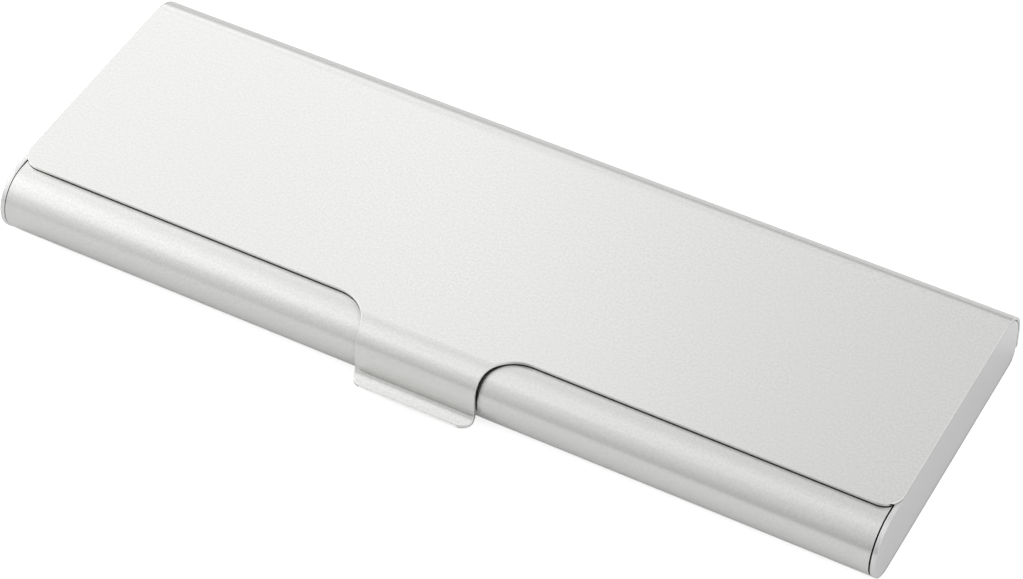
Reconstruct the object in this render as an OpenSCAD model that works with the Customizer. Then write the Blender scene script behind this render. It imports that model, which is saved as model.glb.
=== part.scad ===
// Slim hinged pencil case folded from thin aluminium sheet.
//
// One sheet makes the tray: its floor, the round nose along the front, a ledge under
// the lid and half of the hinge knuckles. A second sheet makes the lid: the top, the
// back wall, the finger tab in front of the nose and the other knuckles. Two flat end
// plates close the ends, and one long rod joins the knuckles.
//
// Millimetres. X runs along the case, -Y is the front (the nose) and +Z is up.
// The origin lies on the table, at the middle of the whole outline.

/* [Case] */
// Length over the two end plates
case_w = 180; // [150:1:230]
// Depth from the front of the nose to the outside of the back wall
case_d = 63; // [45:1:90]
// Height from the table to the top of the lid
case_h = 14.4; // [13:0.2:18]

/* [Sheet] */
// Thickness of the sheet that the tray and the lid are folded from
sheet_t = 0.6; // [0.5:0.05:0.8]
// Thickness of each end plate
plate_t = 0.8; // [0.6:0.1:1.5]
// Inner radius of the small folds inside the tray
fold_r = 0.5; // [0.3:0.1:1]

/* [Lid] */
// Outer radius of the bend from the top into the back wall
back_bend_r = 8; // [5:0.5:8.5]
// Radius of the two front corners
lid_corner_r = 3.8; // [1:0.2:8]
// Set-back of the front edge behind the crown of the nose
edge_setback = 0.8; // [0.1:0.1:1.5]
// Height at which the back wall ends beside the first and the last knuckle
wall_end_h = 2.2; // [1.8:0.1:3]

/* [Finger tab] */
// Width of the tab
tab_w = 24.6; // [16:0.2:60]
// Radius of the hollow fillet on each side of its root
tab_fillet_r = 7.6; // [2:0.2:7.6]
// Outer radius of the bend that takes the tab down in front of the nose
tab_bend_r = 5.6; // [3:0.1:6.6]
// Inner radius of the fold into the lip
lip_fold_r = 1.2; // [0.6:0.1:2.4]
// Height of the underside of that fold above the table
lip_h = 3.5; // [0.6:0.1:4]
// Reach of the lip, from the middle of its fold to its edge
lip_len = 1.3; // [0.5:0.1:4]
// Radius of the two corners of the lip
lip_corner_r = 2.4; // [0.5:0.1:2.4]

/* [Tray] */
// Flat length of the ledge that runs back from the crown, under the lid
ledge_len = 5; // [3:0.5:10]
// Height of the stiffening edge folded down at the back of the ledge
ledge_drop = 2.4; // [1.5:0.1:4]
// Height of the two end flanges that carry the end plates
flange_h = 5; // [3:0.5:8]
// Distance that the flanges keep from the nose and from the hinge
flange_inset = 3.5; // [2.5:0.5:10]
// Radius of the upper corners of the flanges
flange_corner_r = 1.5; // [0.5:0.1:1.8]
// Width of the relief cuts at the two ends of each flange
relief_w = 0.8; // [0.4:0.1:2]

/* [End plates] */
// How far the plates stand proud of the nose, all round it
plate_proud = 0.1; // [0:0.05:0.3]
// Radius of the lower back corner
plate_corner_r = 2.6; // [1.5:0.1:3.5]

/* [Hinge] */
// Diameter of the hinge rod
rod_d = 2; // [1.6:0.1:2.6]
// Number of knuckles, counting those of the lid and of the tray
knuckles = 9; // [3:2:15]
// Opening left between the end of each roll and the sheet that it leaves, in degrees
roll_opening = 65; // [50:5:90]
// Chamfer on the two ends of the rod
rod_chamfer = 0.3; // [0.1:0.1:0.6]

/* [Clearances] */
// Radial running clearance between the rod and the knuckles
rod_fit = 0.05; // [0.01:0.01:0.1]
// Gap between neighbouring knuckles, and round each knuckle in its notch
knuckle_gap = 0.3; // [0.2:0.05:0.6]
// Seam between the tray and the right end plate, and beside the outer knuckles
end_seam = 0.35; // [0.2:0.05:0.6]
// Seam between the tray and the left end plate, which the tray is pushed up to
left_seam = 0.15; // [0.1:0.05:0.6]
// Seam between the back edge of the end plates and the back wall
back_seam = 0.35; // [0.25:0.05:0.6]
// Gap between the upper back corner of the end plates and the bend of the lid
bend_gap = 0.15; // [0.1:0.05:0.5]
// Gap between the ledge of the tray and the underside of the lid
ledge_gap = 0.2; // [0.1:0.05:0.5]
// Room that the tab keeps from the nose while the lid swings
swing_gap = 0.15; // [0.1:0.05:0.4]

/* [Hidden] */
$fn = 96;

cut = 1;              // how far a cutting solid runs past what it cuts
fold_outer_r = fold_r + sheet_t;

// Knuckles: both sheets are rolled to the same outer radius round the rod.
bore_r = rod_d / 2 + rod_fit;
roll_r = bore_r + sheet_t;
notch_h = 2 * roll_r + knuckle_gap;

// Heights.
plate_h = case_h - sheet_t;
tray_h = plate_h - ledge_gap;
nose_r = tray_h / 2;
hinge_z = roll_r;

// The tab's straight inner face stands far enough out for the tab to swing past the
// nose: at its lowest point it lies further from the hinge than the nose reaches. It
// is rounded up to a hundredth of a millimetre.
hinge_to_front = case_d - roll_r;
hinge_to_nose = hinge_to_front - nose_r;
nose_reach = nose_r + norm([hinge_to_nose, nose_r - hinge_z]);
tab_inner_r = tab_bend_r - sheet_t;
tab_bend_z = plate_h - tab_inner_r;
fold_z = lip_h + sheet_t + lip_fold_r;
tab_reach = ceil(100 * sqrt(pow(nose_reach + swing_gap, 2) - pow(fold_z - hinge_z, 2))) / 100;
fold_reach = tab_reach + sheet_t + lip_fold_r;
lip_reach = fold_reach + lip_len;

// Places along Y, from the middle of the whole outline.
back_y = (lip_reach + roll_r) / 2;
hinge_y = back_y - roll_r;
lip_y = hinge_y - lip_reach;
fold_y = hinge_y - fold_reach;
tab_in_y = hinge_y - tab_reach;
tab_bend_y = tab_in_y + tab_inner_r;
nose_y = hinge_y - hinge_to_nose;
edge_y = nose_y + edge_setback;
plate_back_y = back_y - sheet_t - back_seam;
fillet_r = min(tab_fillet_r, edge_y - tab_in_y);
lip_round = min(lip_corner_r, lip_len + lip_fold_r);

// Upper back corner of the end plates: its radius leaves the gap inside the bend of
// the lid on the diagonal, and is rounded up to a hundredth of a millimetre.
inner_bend_r = back_bend_r - sheet_t;
corner_room = (2 * inner_bend_r - back_seam) / sqrt(2) - inner_bend_r + bend_gap;
plate_bend_r = ceil(100 * corner_room / (sqrt(2) - 1)) / 100;

// Places along X.
plate_x = case_w / 2 - plate_t;       // inner face of the right end plate
roll_x = plate_x - end_seam;          // right end of the tray and of the hinge
tray_left_x = left_seam - plate_x;
knuckle_pitch = 2 * roll_x / knuckles;

// Flanges along Y.
flange_y0 = nose_y + flange_inset;
flange_y1 = hinge_y - roll_r - flange_inset;

// Draws a side view in Y and Z, and stretches it along X.
module along_x(x0, x1) {
    translate([x0, 0, 0])
        rotate([90, 0, 90])
            linear_extrude(x1 - x0)
                children();
}

// Draws an end view in X and Z, and stretches it along Y.
module along_y(y0, y1) {
    translate([0, y1, 0])
        rotate([90, 0, 0])
            linear_extrude(y1 - y0)
                children();
}

module box(x0, x1, y0, y1, z0, z1) {
    translate([x0, y0, z0])
        cube([x1 - x0, y1 - y0, z1 - z0]);
}

module rect(x0, x1, y0, y1) {
    translate([x0, y0])
        square([x1 - x0, y1 - y0]);
}

// Quarter of a disc, in the quadrant that the two signs give.
module quarter_disc(r, side_x, side_y) {
    intersection() {
        circle(r);
        translate([side_x < 0 ? -r : 0, side_y < 0 ? -r : 0])
            square(r);
    }
}

// Quarter of a bent sheet: the ring between two radii, in one quadrant.
module quarter_bend(inner_r, outer_r, side_x, side_y) {
    difference() {
        quarter_disc(outer_r, side_x, side_y);
        circle(inner_r);
    }
}

// Side view of a sheet that comes down behind the rod and is rolled under it and up
// again. The roll stays open over one wedge above the point where the sheet arrives.
module rolled_edge() {
    far = 3 * roll_r;
    half = roll_opening / 2;
    difference() {
        circle(roll_r);
        circle(bore_r);
        polygon([
            [0, 0],
            [far, 0],
            [far * cos(half), far * sin(half)],
            [far * cos(roll_opening), far * sin(roll_opening)]
        ]);
    }
}

// Left end of the knuckle with this number.
function knuckle_x(i) = -roll_x + i * knuckle_pitch;

// Cuts the knuckles of one of the two sheets away, from first in steps of two. A cut
// at the end of the row runs on past the sheet.
module knuckle_notches(first, y0, z1) {
    for (i = [first : 2 : knuckles - 1]) {
        at_left_end = i == 0;
        at_right_end = i == knuckles - 1;
        x0 = knuckle_x(i) - (at_left_end ? cut : knuckle_gap / 2);
        x1 = knuckle_x(i + 1) + (at_right_end ? cut : knuckle_gap / 2);
        box(x0, x1, y0, back_y + cut, -cut, z1);
    }
}

// ---- tray ----

module tray_profile() {
    // floor
    rect(nose_y, hinge_y, 0, sheet_t);
    // nose
    translate([nose_y, nose_r]) {
        quarter_bend(nose_r - sheet_t, nose_r, -1, 1);
        quarter_bend(nose_r - sheet_t, nose_r, -1, -1);
    }
    // ledge, with its edge folded down
    rect(nose_y, nose_y + ledge_len, tray_h - sheet_t, tray_h);
    translate([nose_y + ledge_len, tray_h - fold_outer_r])
        quarter_bend(fold_r, fold_outer_r, 1, 1);
    rect(nose_y + ledge_len + fold_r, nose_y + ledge_len + fold_outer_r,
         tray_h - ledge_drop, tray_h - fold_outer_r);
    // knuckles: the same roll, mirrored to come from the floor and go up behind the rod
    translate([hinge_y, hinge_z])
        mirror([1, 1, 0])
            rolled_edge();
}

// One end flange, folded up from the floor, its outer face against the end plate.
module end_flange() {
    along_y(flange_y0, flange_y1)
        translate([plate_x - fold_outer_r, fold_outer_r])
            quarter_bend(fold_r, fold_outer_r, 1, -1);
    along_x(plate_x - sheet_t, plate_x) {
        rect(flange_y0, flange_y1, fold_outer_r, flange_h - flange_corner_r);
        rect(flange_y0 + flange_corner_r, flange_y1 - flange_corner_r,
             fold_outer_r, flange_h);
        for (y = [flange_y0 + flange_corner_r, flange_y1 - flange_corner_r])
            translate([y, flange_h - flange_corner_r])
                circle(flange_corner_r);
    }
}

// Room in the floor for one end flange and for the relief cuts beside it.
module flange_cut() {
    x0 = plate_x - fold_outer_r;
    box(x0, plate_x, flange_y0 - relief_w, flange_y1 + relief_w, -cut, 2 * sheet_t);
    for (y0 = [flange_y0 - relief_w, flange_y1])
        box(x0 - relief_w, plate_x, y0, y0 + relief_w, -cut, 2 * sheet_t);
}

module tray() {
    color("#d3d5d4") {
        difference() {
            along_x(tray_left_x, roll_x)
                tray_profile();
            knuckle_notches(0, hinge_y - roll_r - knuckle_gap, notch_h);
            flange_cut();
            mirror([1, 0, 0])
                flange_cut();
        }
        end_flange();
        mirror([1, 0, 0])
            end_flange();
    }
}

// ---- end plates ----

module plate_profile() {
    nose_plate_r = plate_h / 2;
    nose_plate_y = nose_y - nose_r - plate_proud + nose_plate_r;
    bend_y = plate_back_y - plate_bend_r;
    bend_z = plate_h - plate_bend_r;
    low_y = plate_back_y - plate_corner_r;
    translate([nose_plate_y, nose_plate_r])
        circle(nose_plate_r);
    rect(nose_plate_y, bend_y, 0, plate_h);
    // upper back corner, inside the bend of the lid
    translate([bend_y, bend_z])
        quarter_disc(plate_bend_r, 1, 1);
    rect(bend_y, low_y, 0, bend_z);
    // lower back corner, clear of the back wall as it swings under
    translate([low_y, plate_corner_r])
        quarter_disc(plate_corner_r, 1, -1);
    rect(low_y, plate_back_y, plate_corner_r, bend_z);
}

module right_end_plate() {
    color("#c4c6c6")
        along_x(plate_x, plate_x + plate_t)
            plate_profile();
}

module left_end_plate() {
    color("#c4c6c6")
        mirror([1, 0, 0])
            along_x(plate_x, plate_x + plate_t)
                plate_profile();
}

// ---- lid ----

module lid_profile() {
    // top
    rect(tab_bend_y, back_y - back_bend_r, plate_h, case_h);
    // back bend and back wall
    translate([back_y - back_bend_r, case_h - back_bend_r])
        quarter_bend(inner_bend_r, back_bend_r, 1, 1);
    rect(back_y - sheet_t, back_y, hinge_z, case_h - back_bend_r);
    // knuckles, rolled under the rod from the foot of the back wall
    translate([hinge_y, hinge_z])
        rolled_edge();
    // tab: bent over the nose, then straight down
    translate([tab_bend_y, tab_bend_z])
        quarter_bend(tab_inner_r, tab_bend_r, -1, 1);
    rect(tab_in_y - sheet_t, tab_in_y, fold_z, tab_bend_z);
    lip_profile();
}

// Fold at the foot of the tab, and the lip that runs out from it. The lip is drawn too
// long: the outline of the blank trims its edge.
module lip_profile() {
    translate([fold_y, fold_z])
        quarter_bend(lip_fold_r, lip_fold_r + sheet_t, 1, -1);
    rect(lip_y - cut, fold_y, lip_h, lip_h + sheet_t);
}

// Outline of the lid's blank, seen from above.
module lid_outline() {
    half_w = case_w / 2;
    corner_y = edge_y + lid_corner_r;
    rect(-half_w, half_w, corner_y, back_y + cut);
    rect(-half_w + lid_corner_r, half_w - lid_corner_r, edge_y, corner_y + cut);
    for (x = [-half_w + lid_corner_r, half_w - lid_corner_r])
        translate([x, corner_y])
            circle(lid_corner_r);
    // tab with its rounded lip
    lip_corner_y = lip_y + lip_round;
    rect(-tab_w / 2, tab_w / 2, lip_corner_y, edge_y + cut);
    rect(-tab_w / 2 + lip_round, tab_w / 2 - lip_round, lip_y, lip_corner_y + cut);
    for (x = [-tab_w / 2 + lip_round, tab_w / 2 - lip_round])
        translate([x, lip_corner_y])
            circle(lip_round);
    // hollow fillets at the root of the tab
    difference() {
        fillet_x = tab_w / 2 + fillet_r;
        rect(-fillet_x, fillet_x, edge_y - fillet_r, edge_y + cut);
        for (x = [-fillet_x, fillet_x])
            translate([x, edge_y - fillet_r])
                circle(fillet_r);
    }
}

module lid() {
    color("#dfe0de")
        difference() {
            intersection() {
                along_x(-case_w / 2, case_w / 2)
                    lid_profile();
                translate([0, 0, -cut])
                    linear_extrude(case_h + 2 * cut)
                        lid_outline();
            }
            knuckle_notches(1, hinge_y - roll_r - cut, notch_h);
            wall_end_cut();
            mirror([1, 0, 0])
                wall_end_cut();
        }
}

// Takes the roll away beside the last knuckle, where the end plate stands, and trims
// the back wall behind that plate.
module wall_end_cut() {
    x1 = case_w / 2 + cut;
    y0 = hinge_y - roll_r - cut;
    box(roll_x, x1, y0, back_y - sheet_t, -cut, notch_h);
    box(roll_x, x1, y0, back_y + cut, -cut, wall_end_h);
}

// ---- hinge rod ----

module hinge_rod() {
    rod_r = rod_d / 2;
    rod_len = 2 * roll_x;
    color("#9fa3a6")
        translate([-rod_len / 2, hinge_y, hinge_z])
            rotate([0, 90, 0]) {
                translate([0, 0, rod_chamfer])
                    cylinder(h = rod_len - 2 * rod_chamfer, r = rod_r);
                cylinder(h = rod_chamfer, r1 = rod_r - rod_chamfer, r2 = rod_r);
                translate([0, 0, rod_len - rod_chamfer])
                    cylinder(h = rod_chamfer, r1 = rod_r, r2 = rod_r - rod_chamfer);
            }
}

tray();
left_end_plate();
right_end_plate();
lid();
hinge_rod();
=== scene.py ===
import math

import bpy
from mathutils import Matrix, Vector

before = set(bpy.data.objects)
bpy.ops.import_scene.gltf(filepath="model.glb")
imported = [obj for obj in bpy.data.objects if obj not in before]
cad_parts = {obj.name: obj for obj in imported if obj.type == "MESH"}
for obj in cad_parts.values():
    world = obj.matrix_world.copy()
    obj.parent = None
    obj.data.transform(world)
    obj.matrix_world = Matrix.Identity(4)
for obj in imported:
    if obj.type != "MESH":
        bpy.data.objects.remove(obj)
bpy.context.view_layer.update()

mm = 0.001  # the frame is in metres


# node helpers

def newMaterial(name):
    material = bpy.data.materials.new(name)
    material.use_nodes = True
    material.node_tree.nodes.clear()
    return material, material.node_tree


def addNode(tree, kind, **values):
    node = tree.nodes.new(kind)
    for key, value in values.items():
        if hasattr(node, key):
            setattr(node, key, value)
        else:
            node.inputs[key.replace("_", " ")].default_value = value
    return node


def mathNode(tree, operation, *values):
    node = addNode(tree, "ShaderNodeMath", operation=operation)
    for socket, value in zip(node.inputs, values):
        if isinstance(value, (int, float)):
            socket.default_value = value
        else:
            tree.links.new(value, socket)
    return node.outputs[0]


def noiseNode(tree, coords, scale, detail=2.0, roughness=0.5):
    node = addNode(tree, "ShaderNodeTexNoise", Scale=scale, Detail=detail)
    node.inputs["Roughness"].default_value = roughness
    tree.links.new(coords, node.inputs["Vector"])
    return node.outputs["Fac"]


def remap(tree, value, low, high, fromLow=0.0, fromHigh=1.0, smooth=False):
    node = tree.nodes.new("ShaderNodeMapRange")
    if smooth:
        node.interpolation_type = "SMOOTHSTEP"
    node.inputs["From Min"].default_value = fromLow
    node.inputs["From Max"].default_value = fromHigh
    node.inputs["To Min"].default_value = low
    node.inputs["To Max"].default_value = high
    tree.links.new(value, node.inputs["Value"])
    return node.outputs["Result"]


def mixColour(tree, factor, first, second, blend="MIX"):
    node = addNode(tree, "ShaderNodeMix", data_type="RGBA", blend_type=blend)
    sockets = [s for s in node.inputs if s.type == "RGBA"]
    for socket, value in zip(sockets, (first, second)):
        if isinstance(value, tuple):
            socket.default_value = (*value, 1.0)
        else:
            tree.links.new(value, socket)
    if isinstance(factor, float):
        node.inputs[0].default_value = factor
    else:
        tree.links.new(factor, node.inputs[0])
    return [s for s in node.outputs if s.type == "RGBA"][0]


# 1 where a coordinate is between two ends, falling to 0 over the softness on either side
def band(tree, value, low, high, soft):
    up = remap(tree, value, 0.0, 1.0, low - soft, low, True)
    down = remap(tree, value, 1.0, 0.0, high, high + soft, True)
    return mathNode(tree, "MULTIPLY", up, down)


wearAndHighlightLook = {
    "samples": 8,
    "wornAndBright": 0.88,  # how far the rounded normal still agrees with the flat one
    "unwornAndBright": 0.995,
}


# 1 on the deburred edges of the sheet, 0 on its faces, and the rounded normal that goes with it; the
# mask paints the edges paler as edge wear and painted highlight
def edgeWearAndHighlight(tree, radius):
    rounded = addNode(tree, "ShaderNodeBevel", samples=wearAndHighlightLook["samples"])
    if isinstance(radius, float):
        rounded.inputs["Radius"].default_value = radius
    else:
        tree.links.new(radius, rounded.inputs["Radius"])
    flat = tree.nodes.new("ShaderNodeNewGeometry")
    agree = addNode(tree, "ShaderNodeVectorMath", operation="DOT_PRODUCT")
    tree.links.new(rounded.outputs["Normal"], agree.inputs[0])
    tree.links.new(flat.outputs["Normal"], agree.inputs[1])
    wearAndHighlight = remap(tree, agree.outputs["Value"], 1.0, 0.0, wearAndHighlightLook["wornAndBright"], wearAndHighlightLook["unwornAndBright"])
    return wearAndHighlight, rounded.outputs["Normal"]


# tab of the lid: painted light on its face and on the rolled front edge of its lip, painted shade in its
# fold, and a lip whose shading normal droops to that rolled front edge
def thumbTab(tree, place, tab, colour, radius):
    across, deep, high = place["X"], place["Y"], place["Z"]
    soft, foldSoft = tab["soft"], tab["foldSoft"]
    below = remap(tree, high, 1.0, 0.0, tab["paintedFaceLightTo"], tab["paintedFaceLightTo"] + tab["paintedFaceLightSoft"], True)
    ahead = remap(tree, deep, 1.0, 0.0, tab["faceAt"] - soft, tab["faceAt"], True)
    onFace = mathNode(tree, "MULTIPLY", below, ahead)
    onLip = remap(tree, deep, 1.0, 0.0, tab["lipFrom"] - soft, tab["lipFrom"], True)
    onRim = remap(tree, deep, 1.0, 0.0, tab["rimAt"] - tab["rimSoft"], tab["rimAt"])
    inFold = mathNode(tree, "MULTIPLY",
                      band(tree, high, *tab["foldZ"], foldSoft),
                      band(tree, deep, *tab["foldY"], foldSoft))
    outward = mathNode(tree, "ABSOLUTE", across)
    atEnd = remap(tree, outward, 0.0, 1.0, tab["endFrom"] - soft, tab["endFrom"])

    # painted light: the face and the lip's front edge are painted lighter as painted reflection, the
    # fold darker as painted shade
    gains = ((onFace, "paintedFaceLight"), (onLip, "lipOverFaceLight"), (onRim, "paintedRimLight"), (inFold, "paintedFoldShade"))
    for mask, key in gains:
        gain = mathNode(tree, "MULTIPLY_ADD", mask, tab[key] - 1.0, 1.0)
        colour = mixColour(tree, 1.0, colour, gain, "MULTIPLY")

    wider = mathNode(tree, "MULTIPLY_ADD", onLip, tab["lipRadius"] - radius, radius)
    wider = mathNode(tree, "MULTIPLY_ADD", atEnd, tab["endRadius"] - radius, wider)

    forward = mathNode(tree, "MINIMUM", mathNode(tree, "SUBTRACT", deep, tab["droopFrom"]), 0.0)
    droop = mathNode(tree, "MULTIPLY", forward, math.tan(math.radians(tab["droop"])))
    roll = mathNode(tree, "MULTIPLY", onRim, -math.tan(math.radians(tab["roll"])))
    return colour, wider, mathNode(tree, "MULTIPLY_ADD", roll, high, droop)


# anodised sheet with a fine blasted grain

def blastedSheet(name, look):
    material, tree = newMaterial(name)
    coords = tree.nodes.new("ShaderNodeTexCoord").outputs["Object"]
    place = tree.nodes.new("ShaderNodeSeparateXYZ")
    tree.links.new(coords, place.inputs[0])
    grain = noiseNode(tree, coords, look["grainPerMetre"], 1.0)
    cloud = noiseNode(tree, coords, look["cloudPerMetre"], 2.0)
    speckle = remap(tree, grain, 0.0, 1.0, *look["grainRange"])
    patches = remap(tree, cloud, 0.0, look["cloudAmount"], *look["cloudRange"])

    colour = mixColour(tree, speckle, look["dark"], look["pale"])
    colour = mixColour(tree, patches, colour, look["tint"])
    rough = remap(tree, speckle, *look["rough"])
    radius = look["edgeRadius"]
    if "tab" in look:
        colour, radius, slope = thumbTab(tree, place.outputs, look["tab"], colour, radius)
    # edge wear and painted highlight: the deburred edges are painted paler
    wearAndHighlight, rounded = edgeWearAndHighlight(tree, radius)
    colour = mixColour(tree, wearAndHighlight, colour, look["edge"])
    # painted shade: the colour darkens where ambient occlusion finds seams, gaps and creases close by
    openness = addNode(tree, "ShaderNodeAmbientOcclusion", samples=look["seamSamples"],
                       Distance=look["seamReach"])
    seam = remap(tree, openness.outputs["AO"], look["seamShadeDark"], 1.0, look["seamFrom"], look["seamTo"])
    tight = remap(tree, place.outputs["X"], look["tightSeamShadeDark"], look["seamShadeDark"], *look["tightSeamX"])
    tree.links.new(tight, seam.node.inputs["To Min"])
    colour = mixColour(tree, 1.0, colour, seam, "MULTIPLY")

    shader = addNode(tree, "ShaderNodeBsdfPrincipled", Metallic=look["metallic"])
    tree.links.new(colour, shader.inputs["Base Color"])
    tree.links.new(rough, shader.inputs["Roughness"])
    bump = addNode(tree, "ShaderNodeBump", Strength=look["grainStrength"], Distance=look["grainDepth"])
    tree.links.new(grain, bump.inputs["Height"])
    if "tab" in look:
        lean = addNode(tree, "ShaderNodeBump", Strength=1.0, Distance=1.0)
        tree.links.new(slope, lean.inputs["Height"])
        tree.links.new(rounded, lean.inputs["Normal"])
        rounded = lean.outputs["Normal"]
    tree.links.new(rounded, bump.inputs["Normal"])
    tree.links.new(bump.outputs["Normal"], shader.inputs["Normal"])
    out = tree.nodes.new("ShaderNodeOutputMaterial")
    tree.links.new(shader.outputs["BSDF"], out.inputs["Surface"])
    return material


sheetLook = {
    "pale": (0.881, 0.881, 0.867),
    "dark": (0.813, 0.813, 0.798),
    "tint": (0.845, 0.85, 0.835),
    # paler deburred edges: edge wear and painted highlight
    "edge": (0.98, 0.98, 0.97),
    "edgeRadius": 0.18 * mm,
    "metallic": 1.0,
    "rough": (0.255, 0.235),
    "grainPerMetre": 2150.0,
    "grainRange": (0.32, 0.68),
    "grainStrength": 0.07,
    "grainDepth": 0.012 * mm,
    "cloudPerMetre": 45.0,
    "cloudRange": (0.35, 0.65),
    "cloudAmount": 0.3,
    # painted shade in seams, gaps and creases
    "seamSamples": 12,
    "seamReach": 1.8 * mm,
    "seamShadeDark": 0.30,
    "seamFrom": 0.06,
    "seamTo": 0.92,
    "tightSeamShadeDark": 1.0,  # no painted shade in the gaps at the left end, which stay light
    "tightSeamX": (-86.0 * mm, -80.0 * mm),
}
traySheet = blastedSheet("traySheet", sheetLook)

lidLook = dict(sheetLook)
lidLook.update({
    "seamReach": 1.0 * mm,
    "seamShadeDark": 0.35,
    "seamTo": 0.80,
    "tab": {
        "soft": 0.3 * mm,
        "faceAt": -30.3 * mm,
        # painted reflection: the tab's face painted lighter
        "paintedFaceLightTo": 8.0 * mm,
        "paintedFaceLightSoft": 3.0 * mm,
        "paintedFaceLight": 1.10,
        "lipFrom": -30.8 * mm,
        "lipOverFaceLight": 0.95,
        "lipRadius": 0.30 * mm,
        "rimAt": -33.16 * mm,
        "rimSoft": 0.01 * mm,
        # painted reflection: the lip's front edge painted lighter
        "paintedRimLight": 1.11,
        "roll": 60.0,
        # painted shade: the fold painted darker
        "foldZ": (4.6 * mm, 6.0 * mm),
        "foldY": (-31.0 * mm, -30.0 * mm),
        "foldSoft": 1.0 * mm,
        "paintedFoldShade": 0.90,
        "droopFrom": -31.5 * mm,
        "droop": 18.0,
        "endFrom": 89.0 * mm,  # the sheet's two end edges are rounded more, with a wider band of edge wear and painted highlight
        "endRadius": 0.36 * mm,
    },
})
lidSheet = blastedSheet("lidSheet", lidLook)

# the end plates: a lighter copy of the sheet finish, painted light on the end faces, with a finer,
# stronger grain
plateLook = dict(sheetLook)
plateLook.update({
    "pale": (0.920, 0.922, 0.920),
    "dark": (0.840, 0.842, 0.840),
    "tint": (0.880, 0.883, 0.883),
    "grainPerMetre": 2900.0,
    "grainStrength": 0.2,
    "edgeRadius": 0.14 * mm,
})
rightPlate = blastedSheet("rightPlate", plateLook)

# the left plate fits closer and its rim is rounded more, with a wider band of edge wear and painted
# highlight
leftPlateLook = dict(plateLook)
leftPlateLook["edgeRadius"] = 0.50 * mm
leftPlate = blastedSheet("leftPlate", leftPlateLook)


# drawn stainless rod: fine lines along its length

def drawnRod(name, look):
    material, tree = newMaterial(name)
    coords = tree.nodes.new("ShaderNodeTexCoord").outputs["Object"]
    stretch = addNode(tree, "ShaderNodeMapping", vector_type="POINT")
    stretch.inputs["Scale"].default_value = (look["stretch"], 1.0, 1.0)
    tree.links.new(coords, stretch.inputs["Vector"])
    lines = noiseNode(tree, stretch.outputs["Vector"], look["linesPerMetre"],
                      look["lineDetail"], look["lineBreakup"])
    colour = mixColour(tree, lines, look["dark"], look["pale"])
    shader = addNode(tree, "ShaderNodeBsdfPrincipled", Metallic=1.0)
    tree.links.new(colour, shader.inputs["Base Color"])
    tree.links.new(remap(tree, lines, *look["rough"]), shader.inputs["Roughness"])
    bump = addNode(tree, "ShaderNodeBump", Strength=look["lineStrength"], Distance=look["lineDepth"])
    tree.links.new(lines, bump.inputs["Height"])
    tree.links.new(bump.outputs["Normal"], shader.inputs["Normal"])
    out = tree.nodes.new("ShaderNodeOutputMaterial")
    tree.links.new(shader.outputs["BSDF"], out.inputs["Surface"])
    return material


rodLook = {
    "pale": (0.70, 0.70, 0.70),
    "dark": (0.56, 0.565, 0.57),
    "rough": (0.18, 0.34),
    "linesPerMetre": 6000.0,
    "stretch": 0.02,
    "lineDetail": 3.0,
    "lineBreakup": 0.6,
    "lineStrength": 0.4,
    "lineDepth": 0.006 * mm,
}
rodSteel = drawnRod("rodSteel", rodLook)

finishes = {
    "tray": traySheet,
    "lid": lidSheet,
    "left_end_plate": leftPlate,
    "right_end_plate": rightPlate,
    "hinge_rod": rodSteel,
}
for node, material in finishes.items():
    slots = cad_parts[node].data.materials
    for i in range(len(slots)):
        slots[i] = material
print("materials on", len(finishes), "nodes")


# floor and world

floorLook = {
    "size": 6.0,
    "drop": 0.02 * mm,
    "colour": (0.80, 0.80, 0.80),
    "cameraWhite": 0.7,
    "glossyWhite": 0.0035,
}


def makeFloor(look):
    bpy.ops.mesh.primitive_plane_add(size=look["size"], location=(0, 0, -look["drop"]))
    floor = bpy.context.object
    floor.name = "studioFloor"
    material, tree = newMaterial("studioFloor")
    path = tree.nodes.new("ShaderNodeLightPath").outputs
    camera = mathNode(tree, "MULTIPLY", path["Is Camera Ray"], look["cameraWhite"])
    glossy = mathNode(tree, "MAXIMUM", path["Is Glossy Ray"], path["Is Transmission Ray"])
    glow = addNode(tree, "ShaderNodeEmission")
    seen = mathNode(tree, "MULTIPLY_ADD", glossy, look["glossyWhite"], camera)
    tree.links.new(seen, glow.inputs["Strength"])
    diffuse = addNode(tree, "ShaderNodeBsdfDiffuse", Color=(*look["colour"], 1))
    add = tree.nodes.new("ShaderNodeAddShader")
    tree.links.new(diffuse.outputs[0], add.inputs[0])
    tree.links.new(glow.outputs[0], add.inputs[1])
    out = tree.nodes.new("ShaderNodeOutputMaterial")
    tree.links.new(add.outputs[0], out.inputs["Surface"])
    floor.data.materials.append(material)


makeFloor(floorLook)

worldLook = {
    "left": 0.99,
    "right": 0.99,
    "back": 0.132,
    "front": 0.179,
    "top": 0.444,
}


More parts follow.
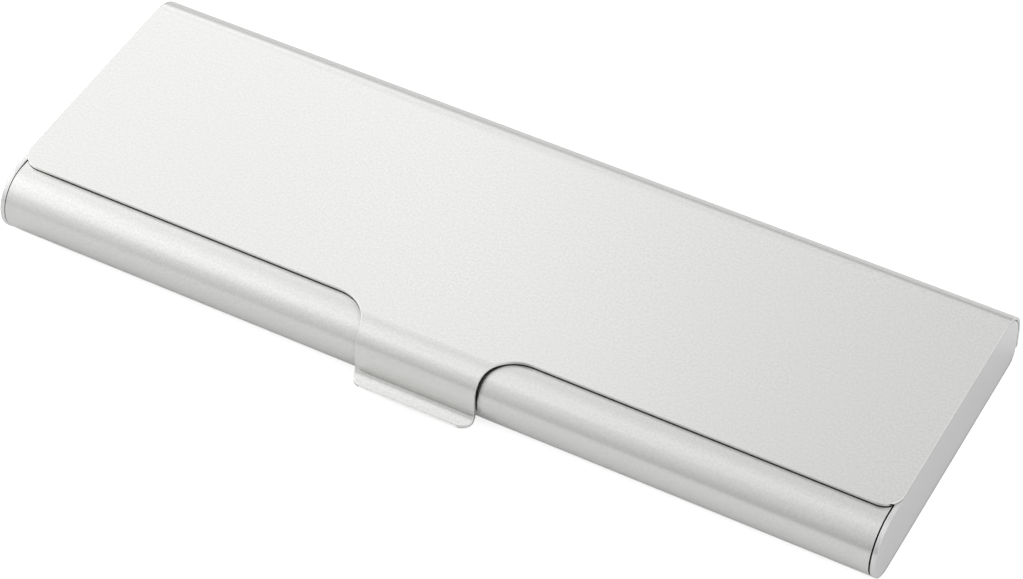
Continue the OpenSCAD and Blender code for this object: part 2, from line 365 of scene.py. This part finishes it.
# white to the camera; a broad soft dome, brightest at the two ends, for everything else
def makeWorld(look):
    world = bpy.data.worlds.new("studio")
    bpy.context.scene.world = world
    world.use_nodes = True
    tree = world.node_tree
    tree.nodes.clear()
    place = tree.nodes.new("ShaderNodeSeparateXYZ")
    tree.links.new(tree.nodes.new("ShaderNodeTexCoord").outputs["Generated"], place.inputs[0])
    sides = {"left": ("X", -1.0), "right": ("X", 1.0), "back": ("Y", 1.0), "front": ("Y", -1.0),
             "top": ("Z", 1.0)}
    total = 0.0
    for side, (axis, sign) in sides.items():
        along = mathNode(tree, "MULTIPLY", place.outputs[axis], sign)
        facing = mathNode(tree, "MAXIMUM", along, 0.0)
        total = mathNode(tree, "MULTIPLY_ADD", facing, look[side], total)
    fill = addNode(tree, "ShaderNodeBackground", Color=(1, 1, 1, 1))
    tree.links.new(total, fill.inputs["Strength"])
    white = addNode(tree, "ShaderNodeBackground", Color=(1, 1, 1, 1), Strength=1.0)
    path = tree.nodes.new("ShaderNodeLightPath")
    mix = tree.nodes.new("ShaderNodeMixShader")
    tree.links.new(path.outputs["Is Camera Ray"], mix.inputs[0])
    tree.links.new(fill.outputs[0], mix.inputs[1])
    tree.links.new(white.outputs[0], mix.inputs[2])
    out = tree.nodes.new("ShaderNodeOutputWorld")
    tree.links.new(mix.outputs[0], out.inputs["Surface"])


makeWorld(worldLook)
print("floor and world")


# lights, placed by azimuth (0 front, 90 right end) and elevation and aimed at the object

softbox = (0.55, 0.55)
strip = (2.4, 0.5)
shortStrip = (1.1, 0.3)
lightDistance = 1.2
lights = {
    "lowBackLeftStrip": {"azimuth": 230, "elevation": 18, "size": shortStrip, "power": 0.177},
    "lowBackStrip": {"azimuth": 205, "elevation": 18, "size": shortStrip, "power": 0.368},
    "lowBackRightStrip": {"azimuth": 155, "elevation": 18, "size": shortStrip, "power": 0.25},
    "backStrip": {"azimuth": 205, "elevation": 34, "size": shortStrip, "power": 0.242},
    "highBackLeftStrip": {"azimuth": 230, "elevation": 48, "size": shortStrip, "power": 0.056},
    "highBackStrip": {"azimuth": 180, "elevation": 48, "size": shortStrip, "power": 0.129},
    "ceilingBackStrip": {"azimuth": 180, "elevation": 76, "size": strip, "power": 0.07},
    "ceilingStrip": {"azimuth": 180, "elevation": 90, "size": strip, "power": 0.297},
    "ceilingFrontStrip": {"azimuth": 0, "elevation": 76, "size": strip, "power": 0.364},
    "highFrontStrip": {"azimuth": 0, "elevation": 62, "size": strip, "power": 0.135},
    "frontStrip": {"azimuth": 0, "elevation": 34, "size": strip, "power": 0.074},
    "backLeftSoftbox": {"azimuth": 225, "elevation": 45, "size": softbox, "power": 0.117},
    "leftSoftbox": {"azimuth": 270, "elevation": 45, "size": softbox, "power": 0.334},
    "frontLeftSoftbox": {"azimuth": 315, "elevation": 45, "size": softbox, "power": 0.165},
}


def makeLight(name, spec):
    data = bpy.data.lights.new(name, "AREA")
    data.shape = "RECTANGLE"
    data.size, data.size_y = spec["size"]
    data.energy = spec["power"]
    turn, rise = math.radians(spec["azimuth"]), math.radians(spec["elevation"])
    away = Vector((math.sin(turn) * math.cos(rise), -math.cos(turn) * math.cos(rise), math.sin(rise)))
    light = bpy.data.objects.new(name, data)
    light.location = away * lightDistance
    light.rotation_euler = away.to_track_quat("Z", "Y").to_euler()
    bpy.context.scene.collection.objects.link(light)


for name, spec in lights.items():
    makeLight(name, spec)
print("lights", len(lights))


# camera

shot = {
    "azimuth": 29.653,
    "elevation": 46.865,
    "roll": -1.167,
    "distance": 632.27 * mm,
    "aim": (4.214 * mm, -2.043 * mm, 7.2 * mm),
    "sensor": 36,
    "lens": 3446.78 * 36 / 1023,  # focal length in pixels of a frame 1023 wide
    "clip": (0.01, 50),
}


def makeCamera(view):
    azimuth, elevation = math.radians(view["azimuth"]), math.radians(view["elevation"])
    back = Vector((math.sin(azimuth) * math.cos(elevation),
                   -math.cos(azimuth) * math.cos(elevation),
                   math.sin(elevation)))
    right = Vector((math.cos(azimuth), math.sin(azimuth), 0))
    up = back.cross(right)
    roll = Matrix.Rotation(math.radians(view["roll"]), 3, "Z")
    turn = Matrix((right, up, back)).transposed() @ roll
    data = bpy.data.cameras.new("camera")
    data.lens = view["lens"]
    data.sensor_width = view["sensor"]
    data.clip_start, data.clip_end = view["clip"]
    camera = bpy.data.objects.new("camera", data)
    stand = Vector(view["aim"]) + back * view["distance"]
    camera.matrix_world = Matrix.Translation(stand) @ turn.to_4x4()
    bpy.context.scene.collection.objects.link(camera)
    bpy.context.scene.camera = camera


makeCamera(shot)
print("camera")
bpy.context.scene.view_settings.view_transform = "Standard"
